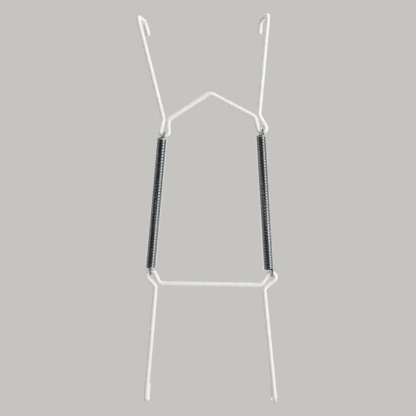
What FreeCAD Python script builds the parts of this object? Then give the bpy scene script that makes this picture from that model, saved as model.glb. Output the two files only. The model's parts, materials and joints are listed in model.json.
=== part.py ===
"""Spring plate hanger: two bent, coated wires linked by a pair of extension springs.

The upper wire has a peak that hangs on a nail, an eye on each side for a spring, and two arms
that end in hooks. The lower wire is a crossbar with the same eyes, arms and hooks. The springs
pull the two wires together, so that the four hooks grip the rim of a plate.

Millimetres, +Z up, X to the right and +Y from the wall towards the plate. The origin is where
the nail bears, on the underside of the upper wire's peak.
"""
import FreeCAD, Part
import math
import os

# Coated wire
wire_diameter = 2.3
bend_radius = 3.0        # centreline radius of the bends at the necks of the eyes
peak_radius = 3.5        # centreline radius of the bend over the nail
tip_rounding = 0.8

# Eyes: teardrops of wire that hold the springs' end loops
eye_radius = 2.0         # centreline radius of the round end
neck_gap = 0.05          # at the least, between the two legs at a neck

# Hooks that grip the plate's rim
hook_bend_radius = 2.6
hook_depth = 11.0        # from the arm's centreline to the returned tip's
hook_return = 7.5        # from the run's centreline to the end of the tip
upper_hook_turn = 16.0   # degrees that the upper hooks turn in towards each other

# Extension springs
spring_wire = 0.78
spring_diameter = 5.3    # outside
spring_turns = 84
left_turn_pitch = 0.789     # along the coil, for each turn
right_turn_pitch = 0.817    # drawn out slightly more
turns_per_ridge = 2      # the fine, close turns are shown in pairs
ridge_depth = 0.28
wall_margin = 0.1        # the coil's wall is this share thicker than its wire, to hold the loops
foot_depth = 0.6         # share of the end turn that a loop's foot reaches into
loop_play = 0.1          # between a spring's end loop and the eye that it hangs on
coil_clearance = 0.4     # between the coil's end and the wire of the eye
left_spring_lean = 4.7   # degrees outwards, going down
right_spring_lean = 2.9
left_upper_loop = 1.15   # from the coil's axis, sideways to each end loop
left_lower_loop = 0.55
right_upper_loop = 0.7
right_lower_loop = 1.3

# Upper wire: slopes and leans are in degrees, from level and from upright
left_peak_slope = 33.5
right_peak_slope = 28.3
left_peak_leg = 25.4
right_peak_leg = 26.1
left_eye_reach = 23.15   # from the peak, sideways to the centre of the eye's round end
right_eye_reach = 26.55
left_eye_drop = 18.4     # from the origin, down to the centre of the eye's round end
right_eye_drop = 16.7
left_arm_lean = 14.2
right_arm_lean = 5.5
left_arm_length = 55.8
right_arm_length = 53.25

# Lower wire
bar_drop = 4.0           # from the centres of the eyes' round ends down to the crossbar
left_bar_reach = 25.3    # from the peak, sideways to the crossbar's end
right_bar_reach = 25.3
left_lower_lean = 4.6
right_lower_lean = 5.3
left_lower_length = 56.3
right_lower_length = 55.5

# Sizes that follow from these
wire_radius = wire_diameter / 2
spring_wire_radius = spring_wire / 2
neck_spacing = wire_diameter + neck_gap
coil_standoff = wire_radius + coil_clearance
coil_middle = spring_diameter / 2 - spring_wire * (1 + wall_margin) / 2    # radius at mid wall
LEFT = -1
RIGHT = 1
DOWN = -1
UP = 1


def flat(x, z):
    """A point or direction in the plane that the wires lie in."""
    return FreeCAD.Vector(x, 0, z)


def unit(vector):
    """The direction of a vector, with length one."""
    return vector / vector.Length


def leaning(side, lean, upright):
    """A direction in the wires' plane, up or down, leaning outwards by an angle in degrees."""
    angle = math.radians(lean)
    return flat(side * math.sin(angle), upright * math.cos(angle))


def bent_path(corners):
    """Straight runs joined by tangent arcs. Each corner is a point and its bend's radius."""
    edges = []
    last = corners[0][0]
    for index in range(1, len(corners) - 1):
        point, radius = corners[index]
        back = unit(corners[index - 1][0] - point)
        ahead = unit(corners[index + 1][0] - point)
        half_turn = (math.pi - back.getAngle(ahead)) / 2
        trim = radius * math.tan(half_turn)
        start = point + back * trim
        end = point + ahead * trim
        inward = unit(back + ahead)
        middle = point + inward * (radius / math.cos(half_turn) - radius)
        add_run(edges, last, start)
        edges.append(Part.Arc(start, middle, end).toShape())
        last = end
    add_run(edges, last, corners[-1][0])
    return Part.Wire(edges)


def add_run(edges, start, end):
    """Append a straight run, unless two bends meet with nothing between them."""
    shortest = 1e-4
    if (end - start).Length > shortest:
        edges.append(Part.LineSegment(start, end).toShape())


def round_bar(corners, radius):
    """A round bar of one radius along a bent path."""
    start = corners[0][0]
    path = bent_path(corners)
    section = Part.Wire(Part.makeCircle(radius, start, corners[1][0] - start))
    return path.makePipeShell([section], True, False)


def rounded_tips(bar, tips):
    """Round the rim of each end of a bar, as its coating does."""
    rims = []
    for edge in bar.Edges:
        if any(is_rim(edge, tip) for tip in tips):
            rims.append(edge)
    return bar.makeFillet(tip_rounding, rims)


def is_rim(edge, tip):
    """Whether an edge is the circle around a tip."""
    nearness = 1e-3
    closed = isinstance(edge.Curve, Part.Circle)
    return closed and (edge.Curve.Center - tip).Length < nearness


def eye_corners(inner, centre, side):
    """The corners of an eye, from its inner neck round its end to its outer neck.

    The legs start one on each side of the neck and are tangent to the round end.
    """
    half_neck = neck_spacing / 2
    across = (centre - inner).Length
    length = math.sqrt(across ** 2 - half_neck ** 2)
    skew = math.atan2(half_neck, length)
    flare = math.asin(eye_radius / across) - skew
    towards = unit(centre - inner)
    along = turned(towards, side_turn(towards, side) * skew)
    inwards = turned(along, side_turn(towards, side) * math.pi / 2)
    neck = inner - inwards * half_neck
    end = neck + along * (length + eye_radius)
    spread = half_neck + (length + eye_radius) * math.tan(flare)
    outer = neck - inwards * half_neck
    return [
        (inner, bend_radius),
        (end + inwards * spread, eye_radius),
        (end - inwards * spread, eye_radius),
        (outer, bend_radius),
    ]


def turned(direction, angle):
    """A direction in the wires' plane, turned by an angle from +X towards +Z."""
    cosine = math.cos(angle)
    sine = math.sin(angle)
    return flat(direction.x * cosine - direction.z * sine, direction.x * sine + direction.z * cosine)


def side_turn(towards, side):
    """The sense of turning, in the wires' plane, that takes an eye's axis towards the inside."""
    return side if towards.z > 0 else -side


def hook_corners(top, arm, turn, side):
    """The corners of a hook, from the arm's end to the tip, which comes back along the arm."""
    shift = hook_depth * math.tan(math.radians(turn))
    far = top + FreeCAD.Vector(-side * shift, hook_depth, 0)
    return [(top, hook_bend_radius), (far, hook_bend_radius), (far - arm * hook_return, 0)]


def peak_corner():
    """The corner of the peak, placed so that its bend passes just over the origin."""
    left = math.radians(left_peak_slope)
    right = math.radians(right_peak_slope)
    inward = unit(flat(math.cos(right) - math.cos(left), -math.sin(left) - math.sin(right)))
    bend_centre = flat(0, wire_radius - peak_radius)
    return bend_centre - inward * (peak_radius / math.cos((left + right) / 2))


def upper_side(side, slope, leg, centre, lean, length):
    """One side of the upper wire, from its inner neck out to the tip of its hook."""
    inner = peak_corner() + leaning(side, 90 - slope, DOWN) * leg
    corners = eye_corners(inner, centre, side)
    arm = leaning(side, lean, UP)
    top = corners[-1][0] + arm * length
    return corners + hook_corners(top, arm, upper_hook_turn, side)


def coil_length(pitch):
    """The length of a coil with this much for each turn."""
    return pitch * spring_turns


def lower_eye(side, centre, pitch, lean, upper_loop, lower_loop):
    """The centre of a lower eye's round end, under the upper eye that its spring hangs in."""
    reach = coil_length(pitch) + 2 * coil_standoff
    across = turned(flat(1, 0), side * math.radians(lean))
    between_seats = leaning(side, lean, DOWN) * reach + across * (lower_loop - upper_loop)
    return centre + between_seats - flat(0, 2 * eye_radius)


def lower_side(side, bar_reach, centre, lean, length):
    """One side of the lower wire, from the crossbar's end out to the tip of its hook."""
    inner = flat(side * bar_reach, centre.z - bar_drop)
    corners = eye_corners(inner, centre, side)
    arm = leaning(side, lean, DOWN)
    end = corners[-1][0] + arm * length
    return corners + hook_corners(end, arm, 0, side)


def hanger_wire(left, middle, right):
    """A whole bent wire: its left side, the corners between the sides, and its right side."""
    corners = list(reversed(left)) + middle + right
    bar = round_bar(corners, wire_radius)
    return rounded_tips(bar, [corners[0][0], corners[-1][0]])


def spring_coil(length):
    """The coil along -Z: a bored sleeve with a plain turn at each end and ridges between."""
    outside = spring_diameter / 2
    bore = outside - spring_wire * (1 + wall_margin)
    root = outside - ridge_depth
    ridges = spring_turns // turns_per_ridge - 1
    pitch = (length - 2 * spring_wire) / ridges
    outline = [flat(bore, 0), flat(outside, 0), flat(outside, -spring_wire)]
    for ridge in range(ridges):
        crest = spring_wire + ridge * pitch
        outline.append(flat(root, -crest - pitch / 2))
        outline.append(flat(outside, -crest - pitch))
    outline.append(flat(outside, -length))
    outline.append(flat(bore, -length))
    outline.append(outline[0])
    face = Part.Face(Part.makePolygon(outline))
    return face.revolve(FreeCAD.Vector(0, 0, 0), FreeCAD.Vector(0, 0, 1), 360)


def end_loop(upright, offset):
    """The loop at one end of the coil, standing across it, with its feet in the end turn."""
    half_span = math.sqrt(coil_middle ** 2 - offset ** 2)
    foot = spring_wire * foot_depth
    crown = coil_standoff + wire_radius + loop_play + spring_wire_radius
    corners = [
        (FreeCAD.Vector(offset, -half_span, -upright * foot), 0),
        (FreeCAD.Vector(offset, -half_span, upright * crown), half_span),
        (FreeCAD.Vector(offset, half_span, upright * crown), half_span),
        (FreeCAD.Vector(offset, half_span, -upright * foot), 0),
    ]
    return round_bar(corners, spring_wire_radius)


def spring(side, centre, pitch, lean, upper_loop, lower_loop):
    """A spring, hung in the upper eye with this centre and leaning out to the lower one."""
    length = coil_length(pitch)
    last_loop = end_loop(DOWN, lower_loop)
    last_loop.translate(flat(0, -length))
    body = spring_coil(length).fuse([end_loop(UP, upper_loop), last_loop]).removeSplitter()
    body.translate(flat(-upper_loop, -coil_standoff))
    body.rotate(FreeCAD.Vector(0, 0, 0), FreeCAD.Vector(0, 1, 0), -side * lean)
    body.translate(centre - flat(0, eye_radius))
    return body


def main():
    """Write each piece to a file of its own."""
    os.makedirs("parts", exist_ok=True)
    left_eye = flat(-left_eye_reach, -left_eye_drop)
    right_eye = flat(right_eye_reach, -right_eye_drop)
    left_hang = (LEFT, left_eye, left_turn_pitch, left_spring_lean, left_upper_loop, left_lower_loop)
    right_hang = (
        RIGHT, right_eye, right_turn_pitch, right_spring_lean, right_upper_loop, right_lower_loop)
    upper_left = upper_side(
        LEFT, left_peak_slope, left_peak_leg, left_eye, left_arm_lean, left_arm_length)
    upper_right = upper_side(
        RIGHT, right_peak_slope, right_peak_leg, right_eye, right_arm_lean, right_arm_length)
    lower_left = lower_side(
        LEFT, left_bar_reach, lower_eye(*left_hang), left_lower_lean, left_lower_length)
    lower_right = lower_side(
        RIGHT, right_bar_reach, lower_eye(*right_hang), right_lower_lean, right_lower_length)
    pieces = {
        "upper_wire": hanger_wire(upper_left, [(peak_corner(), peak_radius)], upper_right),
        "lower_wire": hanger_wire(lower_left, [], lower_right),
        "left_spring": spring(*left_hang),
        "right_spring": spring(*right_hang),
    }
    for name, shape in pieces.items():
        shape.exportStep(f"parts/{name}.step")


main()
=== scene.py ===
"""Looks of a sprung wire plate hanger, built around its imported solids.

Metres, +Z up, seen along +Y. The bent wires keep their solids and get a white coating. Each spring
is wound here as one real wire: a close coil with a loop at each end, hung in the eyes.
"""
import bpy
import json
import math
from collections import namedtuple
from mathutils import Matrix, Vector
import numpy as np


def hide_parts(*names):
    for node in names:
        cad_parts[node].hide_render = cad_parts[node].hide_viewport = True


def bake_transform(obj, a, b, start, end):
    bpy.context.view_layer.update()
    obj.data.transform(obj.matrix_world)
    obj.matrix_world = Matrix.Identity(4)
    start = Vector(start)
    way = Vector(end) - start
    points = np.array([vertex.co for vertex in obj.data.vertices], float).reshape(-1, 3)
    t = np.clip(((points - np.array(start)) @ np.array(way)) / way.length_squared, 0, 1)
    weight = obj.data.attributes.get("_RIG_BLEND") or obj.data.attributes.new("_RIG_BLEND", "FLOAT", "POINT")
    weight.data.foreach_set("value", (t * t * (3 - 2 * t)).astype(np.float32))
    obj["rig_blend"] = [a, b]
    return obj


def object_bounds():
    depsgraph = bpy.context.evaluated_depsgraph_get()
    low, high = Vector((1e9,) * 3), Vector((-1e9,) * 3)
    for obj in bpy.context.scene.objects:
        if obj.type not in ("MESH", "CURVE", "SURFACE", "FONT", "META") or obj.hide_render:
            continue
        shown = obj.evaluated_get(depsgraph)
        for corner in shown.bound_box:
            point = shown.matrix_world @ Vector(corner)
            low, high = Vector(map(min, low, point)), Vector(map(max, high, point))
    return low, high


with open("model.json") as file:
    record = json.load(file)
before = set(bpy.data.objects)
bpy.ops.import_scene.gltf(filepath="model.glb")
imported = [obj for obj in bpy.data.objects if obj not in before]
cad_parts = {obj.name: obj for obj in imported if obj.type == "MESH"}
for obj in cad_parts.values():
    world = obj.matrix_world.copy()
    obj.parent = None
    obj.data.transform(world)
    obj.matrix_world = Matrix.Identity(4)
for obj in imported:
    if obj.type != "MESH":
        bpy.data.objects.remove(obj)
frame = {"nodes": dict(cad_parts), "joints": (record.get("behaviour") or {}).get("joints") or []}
cad_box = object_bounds()

MM = 0.001
FULL_TURN = 2 * math.pi

# Springs
SPRING_WIRE = 0.78 * MM
SPRING_DIAMETER = 5.3 * MM        # outside
SPRING_TURNS = 84
COIL_STANDOFF = 1.55 * MM         # from the middle of an eye's wire to the coil's end
COIL_FRONT = 0.75 * FULL_TURN     # azimuth of the coil's front
WIRE_SHRINK = 0.92                # the wire is drawn this much thinner, so that its turns show apart
PITCH_WAVE = 0.03 * MM            # the turns lie in loose pairs
POINTS_PER_TURN = 32
WIRE_SIDES = 12

# End loops
LOOP_POINTS = 7                   # steps between two points of a loop's route
LOOP_CROWN = 1.76 * MM            # over the middle of the eye's wire
LOOP_SHOULDER = 0.68              # share of the crown's height and of the swell, between the two
LOOP_SWELL = 2.06 * MM            # half the loop's width as it passes the eye's wire
SWELL_HEIGHT = -0.05 * MM         # from the middle of the eye's wire
LOOP_FOOT = 0.35 * MM             # over the coil's end, where the loop turns upright
LOOP_CLEAR = 1.6 * MM             # from the middle of the eye's wire, there
FOOT_FLARE = 0.12 * MM            # the foot stands outside the coil's wire by this much
TAIL_FLARE = 0.05 * MM            # and the tail by this much
TAIL_HEIGHT = 0.55                # of the tail's end over the coil's, in wire thicknesses
TAIL_AIM = 0.8 * MM               # the tail points at a place this far under its end
SHOULDER_LEAN = 0.12 * MM         # the furthest that each stretch leans away from the seat
SWELL_LEAN = 0.30 * MM
FOOT_LEAN = 0.45 * MM
TAIL_LEAN = 0.50 * MM
AIM_LEAN = 0.60 * MM
LOOP_LIFT = 0.05 * MM             # the coil's end rises this much as it turns into the loop
LIFT_TURNS = 0.3
GUIDE_STEP = 2                    # points along the coil that a loop takes its first direction from

# Finishes: tone and roughness wander between two values
NOISE_SPAN = (0.3, 0.7)           # stretch of the noise that they wander over
COATING_TONES = ((0.80, 0.80, 0.77), (0.88, 0.88, 0.86))
COATING_ROUGHNESS = (0.30, 0.44)
COATING_IOR = 1.5
STEEL_TONES = ((0.43, 0.465, 0.50), (0.51, 0.545, 0.58))
STEEL_ROUGHNESS = (0.09, 0.16)
# Painted shade: a near-black mixed into the steel where the coil's wire faces away from its outside
GROOVE_PAINTED_SHADE = (0.03, 0.031, 0.033)
GROOVE_EDGE = (0.55, 0.9)         # how far the surface faces out, from painted groove shade to the metal's tone
TURN_PAINTED_SHADE = 0.08                 # painted shade dulls every second turn by this share
LOOP_SHADE_FACING = 0.7                  # the loops get painted shade as if they faced out only this much

# Camera: image side and focal length in pixels of a square picture
IMAGE_SIDE = 416
FOCAL_PIXELS = 891.0
SENSOR = 36.0
CAMERA_PLACE = Vector((-1.02, -447.8, -102.15)) * MM
CAMERA_PITCH = math.radians(5.7)

# Stage and light: bearings are turned from the front, to the right
BACKDROP = (0.56, 0.55, 0.53)
FLOOR_TONES = (BACKDROP, (0.59, 0.58, 0.56))
FLOOR_ROUGHNESS = 0.9
FLOOR_DROP = 0.075                # under the lowest hook, so that the stretched hanger clears it
FLOOR_RADIUS = 0.3
FLOOR_CORNERS = 96
FLOOR_FADE = (0.05, 0.28)         # the floor thins out between these radii
DIM_FRONT = (0.02, 0.022, 0.025)  # the unlit room behind the camera
DIM_BEARING = math.radians(-22)
DIM_EDGE = (0.60, 0.766)          # cosines from that bearing, pale to dim
FILL_LOW = (0.26, 0.26, 0.265)
FILL_HIGH = (0.74, 0.73, 0.715)
FILL_BEARING = math.radians(40)
FILL_EDGE = (-0.8, 0.8)           # cosines from that bearing, low to high
WHITE_LIGHT = (1.0, 1.0, 1.0)
WARM_LIGHT = (1.0, 0.99, 0.97)

# An end loop: the angle that it is turned by from the coil's front, and its seat's place beside the axis
Loop = namedtuple("Loop", "turned seat")


def joint_place(name):
    """Where a joint of the frame sits."""
    for joint in frame["joints"]:
        if joint["name"] == name:
            return Vector(joint["pos_m"])


def spline_through(points, steps):
    """Points on a smooth curve through all but the first and last, which only guide its direction."""
    curve = []
    for index in range(1, len(points) - 2):
        before, start, end, after = points[index - 1:index + 3]
        for step in range(steps):
            t = step / steps
            curve.append(0.5 * (
                2 * start + (end - before) * t
                + (2 * before - 5 * start + 4 * end - after) * t ** 2
                + (3 * start - before - 3 * end + after) * t ** 3))
    curve.append(points[-2])
    return curve


def coil_point(radius, azimuth, height):
    """A point on the coil, in a spring's own axes: its axis is Z and its upper seat is the origin."""
    return Vector((radius * math.cos(azimuth), radius * math.sin(azimuth), height))


def loop_route(loop, coil_radius):
    """Points over the eye's wire, from the coil's front round to its back.

    The loop stands on the coil's end and leans over to the seat. Near the eye it leans little, so that
    the eye can swing in it. The tail ends just clear of the coil, and the last point is its aim.
    """
    across = math.cos(loop.turned) * coil_radius
    rise = math.sin(loop.turned) * coil_radius - loop.seat
    foot = -COIL_STANDOFF + LOOP_FOOT
    tail = -COIL_STANDOFF + SPRING_WIRE * TAIL_HEIGHT
    shoulder_out = LOOP_SWELL * LOOP_SHOULDER
    shoulder_up = LOOP_CROWN * LOOP_SHOULDER

    def beside(furthest):
        return loop.seat + max(-furthest, min(furthest, rise))

    return [
        Vector((beside(FOOT_LEAN), -max(across + FOOT_FLARE, LOOP_CLEAR), foot)),
        Vector((beside(SWELL_LEAN), -LOOP_SWELL, SWELL_HEIGHT)),
        Vector((beside(SHOULDER_LEAN), -shoulder_out, shoulder_up)),
        Vector((loop.seat, 0, LOOP_CROWN)),
        Vector((beside(SHOULDER_LEAN), shoulder_out, shoulder_up)),
        Vector((beside(SWELL_LEAN), LOOP_SWELL, SWELL_HEIGHT)),
        Vector((beside(TAIL_LEAN), max(across + TAIL_FLARE, LOOP_CLEAR), tail)),
        Vector((beside(AIM_LEAN), max(across, LOOP_CLEAR), tail - TAIL_AIM)),
    ]


def coil_route(reach, coil_radius, upper, lower):
    """The middle of the coil's wire from top to bottom, and how proud each point stands, from 0 to 1."""
    coil_top = -COIL_STANDOFF - SPRING_WIRE / 2
    coil_length = reach - 2 * COIL_STANDOFF - SPRING_WIRE
    start = COIL_FRONT + upper.turned
    end = -(COIL_FRONT + lower.turned)
    turns = SPRING_TURNS - 1 + (start - end) % FULL_TURN / FULL_TURN
    count = round(turns * POINTS_PER_TURN)
    coil = []
    proud = []
    for index in range(count + 1):
        share = index / count
        turn = share * turns
        height = coil_top - coil_length * share
        from_end = min(turn, turns - turn)
        lift = LOOP_LIFT * max(0, 1 - from_end / LIFT_TURNS) ** 2
        height += lift if share < 0.5 else -lift
        wave = math.cos(math.pi * turn)
        height += PITCH_WAVE * min(from_end, 1) * wave
        proud.append(0.5 + 0.5 * wave)
        coil.append(coil_point(coil_radius, start - FULL_TURN * turn, height))
    return coil, proud


def spring_route(reach, upper, lower):
    """The middle of the wire of a whole spring, from the tail of one loop to the tail of the other.

    With each point comes how proud its turn stands, from 0 to 1.
    """
    coil_radius = (SPRING_DIAMETER - SPRING_WIRE) / 2
    coil, proud = coil_route(reach, coil_radius, upper, lower)
    flip = Matrix.Rotation(math.pi, 4, "X")
    drop = Vector((0, 0, -reach))
    first = list(reversed(loop_route(upper, coil_radius)))
    last = [flip @ point + drop for point in loop_route(lower, coil_radius)]
    head = spline_through(first + [coil[0], coil[GUIDE_STEP]], LOOP_POINTS)[:-1]
    foot = spline_through([coil[-1 - GUIDE_STEP], coil[-1]] + last, LOOP_POINTS)[1:]
    return head + coil + foot, [1] * len(head) + proud + [1] * len(foot)


def tube(name, route, radius, sides):
    """A closed round tube along a route, and the index of the route's point for each of its vertices."""
    vertices = []
    owners = []
    faces = []
    across = None
    for index, point in enumerate(route):
        ahead = route[min(index + 1, len(route) - 1)]
        behind = route[max(index - 1, 0)]
        along = (ahead - behind).normalized()
        if across is None:
            across = along.orthogonal()
        across = (across - along * across.dot(along)).normalized()
        other = along.cross(across)
        for corner in range(sides):
            angle = FULL_TURN * corner / sides
            vertices.append(point + (across * math.cos(angle) + other * math.sin(angle)) * radius)
            owners.append(index)
    for ring in range(len(route) - 1):
        for corner in range(sides):
            following = (corner + 1) % sides
            faces.append((
                ring * sides + corner, ring * sides + following,
                (ring + 1) * sides + following, (ring + 1) * sides + corner))
    faces.append(tuple(reversed(range(sides))))
    faces.append(tuple(range((len(route) - 1) * sides, len(route) * sides)))
    mesh = bpy.data.meshes.new(name)
    mesh.from_pydata(vertices, [], faces)
    for face in mesh.polygons:
        face.use_smooth = len(face.vertices) == 4
    mesh.update()
    piece = bpy.data.objects.new(name, mesh)
    bpy.context.scene.collection.objects.link(piece)
    return piece, owners


def mark_painted_shade_facing(piece, route, proud, owners, top, axis, reach):
    """Mark how far each vertex faces out of the coil, from 1 on its outside to -1, for painted shade in its
    grooves.

    Turns that lie less proud count as facing out a little less, which paints shade on every second turn, and
    a loop has one mark all round, which paints shade on it.
    """
    marks = piece.data.attributes.new("painted_shade_facing", "FLOAT", "POINT").data
    for vertex, owner in zip(piece.data.vertices, owners):
        middle = route[owner]
        down = (top - middle).dot(axis)
        outwards = (middle - (top - axis * down)).normalized()
        facing = (vertex.co - middle).normalized().dot(outwards)
        in_coil = COIL_STANDOFF < down < reach - COIL_STANDOFF
        # Painted shade on every second turn, the ones that lie less proud
        turn_shade = TURN_PAINTED_SHADE * (1 - proud[owner])
        # The loops get one mark all round, which paints shade on them
        marks[vertex.index].value = facing * (1 - turn_shade) if in_coil else LOOP_SHADE_FACING


def wound_spring(name, node, seat, at_top, lean, coil_length, upper, lower, material):
    """A spring wound from one wire, hung from its upper or lower seat and stretching with its solid."""
    reach = coil_length + 2 * COIL_STANDOFF
    axis = Vector((-math.sin(lean), 0, math.cos(lean)))
    sideways = Vector((0, 1, 0)).cross(axis)
    axes = Matrix((sideways, Vector((0, 1, 0)), axis)).transposed()
    if at_top:
        top = seat - sideways * upper.seat
    else:
        top = seat - sideways * lower.seat + axis * reach
    route, proud = spring_route(reach, upper, lower)
    route = [axes @ point + top for point in route]
    piece, owners = tube(name, route, SPRING_WIRE * WIRE_SHRINK / 2, WIRE_SIDES)
    piece.data.materials.append(material)
    mark_painted_shade_facing(piece, route, proud, owners, top, axis, reach)
    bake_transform(piece, "left_spring", "right_spring", start=top, end=top - axis * reach)
    # Each ring of the wire moves as one, so that a stretched wire stays round
    shares = [min(max((top - point).dot(axis) / reach, 0), 1) for point in route]
    weights = piece.data.attributes["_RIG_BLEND"].data
    for vertex, owner in enumerate(owners):
        weights[vertex].value = shares[owner]
    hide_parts(node)


def new_material(name):
    """A node material, with its nodes, links and shader."""
    material = bpy.data.materials.new(name)
    material.use_nodes = True
    nodes = material.node_tree.nodes
    return material, nodes, material.node_tree.links, nodes["Principled BSDF"]


def between(nodes, links, value, edges):
    """A smooth step from 0 to 1 as a value passes between two edges."""
    node = nodes.new("ShaderNodeMapRange")
    node.interpolation_type = "SMOOTHSTEP"
    node.inputs["From Min"].default_value = edges[0]
    node.inputs["From Max"].default_value = edges[1]
    links.new(value, node.inputs["Value"])
    return node.outputs["Result"]


def mixed(nodes, links, factor, first, second):
    """One colour turning into another as a factor rises. Each is a plain colour or a socket."""
    node = nodes.new("ShaderNodeMix")
    node.data_type = "RGBA"
    links.new(factor, node.inputs["Factor"])
    for slot, colour in (("A", first), ("B", second)):
        if isinstance(colour, tuple):
            node.inputs[slot].default_value = (*colour, 1)
        else:
            links.new(colour, node.inputs[slot])
    return node.outputs["Result"]


def noise(nodes, links, scale, detail):
    """Noise over the object's own coordinates."""
    place = nodes.new("ShaderNodeTexCoord")
    texture = nodes.new("ShaderNodeTexNoise")
    texture.inputs["Scale"].default_value = scale
    texture.inputs["Detail"].default_value = detail
    links.new(place.outputs["Object"], texture.inputs["Vector"])
    return texture.outputs["Fac"]


def wandering(nodes, links, ends, scale, detail):
    """A colour that wanders between two over the surface."""
    node = nodes.new("ShaderNodeValToRGB")
    for element, position, colour in zip(node.color_ramp.elements, NOISE_SPAN, ends):
        element.position = position
        element.color = (*colour, 1)
    links.new(noise(nodes, links, scale, detail), node.inputs["Fac"])
    return node.outputs["Color"]


def greys(values):
    """Colours with the same value in every channel."""
    return [(value,) * 3 for value in values]


def bump(nodes, links, shader, scale, distance, strength):
    """Small relief on a shader."""
    node = nodes.new("ShaderNodeBump")
    node.inputs["Distance"].default_value = distance
    node.inputs["Strength"].default_value = strength
    links.new(noise(nodes, links, scale, detail=2), node.inputs["Height"])
    links.new(node.outputs["Normal"], shader.inputs["Normal"])


def coating():
    """White plastic coating: satin, with faint unevenness where it ran and set."""
    material, nodes, links, shader = new_material("white_coating")
    tone = wandering(nodes, links, COATING_TONES, scale=420, detail=4)
    roughness = wandering(nodes, links, greys(COATING_ROUGHNESS), scale=900, detail=3)
    links.new(tone, shader.inputs["Base Color"])
    links.new(roughness, shader.inputs["Roughness"])
    shader.inputs["IOR"].default_value = COATING_IOR
    bump(nodes, links, shader, scale=1300, distance=0.05 * MM, strength=0.35)
    return material


def spring_steel():
    """Bright-drawn spring wire: metal with faint blotches, and painted shade between its turns, on every
    second turn and on its end loops.
    """
    material, nodes, links, shader = new_material("spring_steel")
    marks = nodes.new("ShaderNodeAttribute")
    marks.attribute_name = "painted_shade_facing"
    unshaded = between(nodes, links, marks.outputs["Fac"], GROOVE_EDGE)
    bright = wandering(nodes, links, STEEL_TONES, scale=1500, detail=5)
    roughness = wandering(nodes, links, greys(STEEL_ROUGHNESS), scale=2600, detail=3)
    # Painted shade: near-black mixed into the metal in the coil's grooves, on every second turn and on the
    # loops
    links.new(mixed(nodes, links, unshaded, GROOVE_PAINTED_SHADE, bright), shader.inputs["Base Color"])
    links.new(roughness, shader.inputs["Roughness"])
    shader.inputs["Metallic"].default_value = 1
    bump(nodes, links, shader, scale=4200, distance=0.01 * MM, strength=0.3)
    return material


def floor_material():
    """A pale matt floor with a little unevenness, thinning out towards its edge."""
    material, nodes, links, shader = new_material("pale_floor")
    links.new(wandering(nodes, links, FLOOR_TONES, scale=30, detail=3), shader.inputs["Base Color"])
    shader.inputs["Roughness"].default_value = FLOOR_ROUGHNESS
    place = nodes.new("ShaderNodeTexCoord")
    radius = nodes.new("ShaderNodeVectorMath")
    radius.operation = "LENGTH"
    links.new(place.outputs["Object"], radius.inputs[0])
    opacity = nodes.new("ShaderNodeMath")
    opacity.operation = "SUBTRACT"
    opacity.inputs[0].default_value = 1
    links.new(between(nodes, links, radius.outputs["Value"], FLOOR_FADE), opacity.inputs[1])
    links.new(opacity.outputs[0], shader.inputs["Alpha"])
    return material


def make_floor():
    """A round, pale floor under the hanger."""
    lowest = cad_box[0].z
    bpy.ops.mesh.primitive_circle_add(
        vertices=FLOOR_CORNERS, radius=FLOOR_RADIUS, fill_type="NGON", location=(0, 0, lowest - FLOOR_DROP))
    floor = bpy.context.object
    floor.name = "floor"
    floor.data.materials.append(floor_material())


def colours_towards(nodes, links, bearing, edges, away, near):
    """A colour of the surround that changes from one to another towards a bearing."""
    place = nodes.new("ShaderNodeTexCoord")
    level = nodes.new("ShaderNodeVectorMath")
    level.operation = "MULTIPLY"
    level.inputs[1].default_value = (1, 1, 0)
    links.new(place.outputs["Generated"], level.inputs[0])
    heading = nodes.new("ShaderNodeVectorMath")
    heading.operation = "NORMALIZE"
    links.new(level.outputs["Vector"], heading.inputs[0])
    cosine = nodes.new("ShaderNodeVectorMath")
    cosine.operation = "DOT_PRODUCT"
    cosine.inputs[1].default_value = (math.sin(bearing), -math.cos(bearing), 0)
    links.new(heading.outputs["Vector"], cosine.inputs[0])
    return mixed(nodes, links, between(nodes, links, cosine.outputs["Value"], edges), away, near)


def make_world():
    """A pale surround with a dim side, which camera and metal both see, and a softer fill for the rest."""
    world = bpy.data.worlds.new("studio")
    bpy.context.scene.world = world
    world.use_nodes = True
    nodes = world.node_tree.nodes
    links = world.node_tree.links
    rays = nodes.new("ShaderNodeLightPath")
    shown = rays.outputs["Is Camera Ray"]
    for kind in ("Is Glossy Ray", "Is Transmission Ray"):
        either = nodes.new("ShaderNodeMath")
        either.operation = "MAXIMUM"
        links.new(shown, either.inputs[0])
        links.new(rays.outputs[kind], either.inputs[1])
        shown = either.outputs[0]
    fill = colours_towards(nodes, links, FILL_BEARING, FILL_EDGE, FILL_LOW, FILL_HIGH)
    surround = colours_towards(nodes, links, DIM_BEARING, DIM_EDGE, BACKDROP, DIM_FRONT)
    links.new(mixed(nodes, links, shown, fill, surround), nodes["Background"].inputs["Color"])


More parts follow.
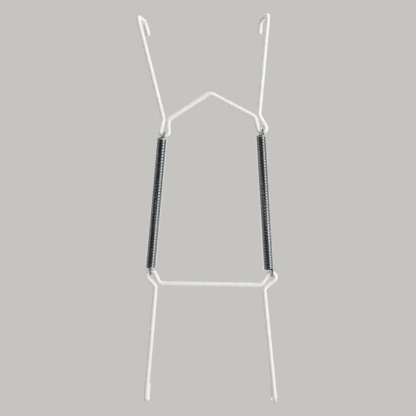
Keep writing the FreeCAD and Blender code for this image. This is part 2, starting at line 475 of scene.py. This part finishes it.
def add_lamp(name, place, width, height, watts, colour=WHITE_LIGHT, glints=True):
    """A soft rectangular lamp turned towards the hanger's middle, which metal shows if it glints."""
    lamp = bpy.data.lights.new(name, "AREA")
    lamp.shape = "RECTANGLE"
    lamp.size = width
    lamp.size_y = height
    lamp.energy = watts
    lamp.color = colour
    holder = bpy.data.objects.new(name, lamp)
    holder.location = place
    middle = (cad_box[0] + cad_box[1]) / 2
    holder.rotation_euler = (middle - Vector(place)).to_track_quat("-Z", "Y").to_euler()
    holder.visible_camera = False
    holder.visible_glossy = glints
    bpy.context.scene.collection.objects.link(holder)


def make_camera():
    """The photograph's camera: below the middle, looking slightly up."""
    data = bpy.data.cameras.new("camera")
    data.sensor_width = SENSOR
    data.lens = FOCAL_PIXELS / IMAGE_SIDE * SENSOR
    camera = bpy.data.objects.new("camera", data)
    camera.location = CAMERA_PLACE
    camera.rotation_euler = (math.pi / 2 + CAMERA_PITCH, 0, 0)
    bpy.context.scene.collection.objects.link(camera)
    bpy.context.scene.camera = camera


white = coating()
steel = spring_steel()
for node in ("upper_wire", "lower_wire"):
    wire = frame["nodes"][node]
    wire.data.materials.clear()
    wire.data.materials.append(white)
wound_spring(
    "left_coil", "left_spring", seat=joint_place("upper_swing"), at_top=True,
    lean=math.radians(-4.7), coil_length=66.28 * MM,
    upper=Loop(turned=math.radians(-20), seat=1.15 * MM),
    lower=Loop(turned=math.radians(-42), seat=0.55 * MM), material=steel)
wound_spring(
    "right_coil", "right_spring", seat=joint_place("lower_swing"), at_top=False,
    lean=math.radians(2.9), coil_length=68.63 * MM,
    upper=Loop(turned=math.radians(40), seat=0.7 * MM),
    lower=Loop(turned=math.radians(62), seat=1.3 * MM), material=steel)

make_floor()
make_world()
add_lamp("key", place=(0.60, -0.49, 0.0), width=0.36, height=1.3, watts=3.6, colour=WARM_LIGHT)
add_lamp("back", place=(0.0, 0.80, 0.1), width=0.9, height=1.0, watts=4.6)
add_lamp("top", place=(0.0, -0.1, 1.0), width=0.8, height=0.8, watts=2.4, glints=False)
make_camera()
bpy.context.scene.view_settings.view_transform = "Standard"
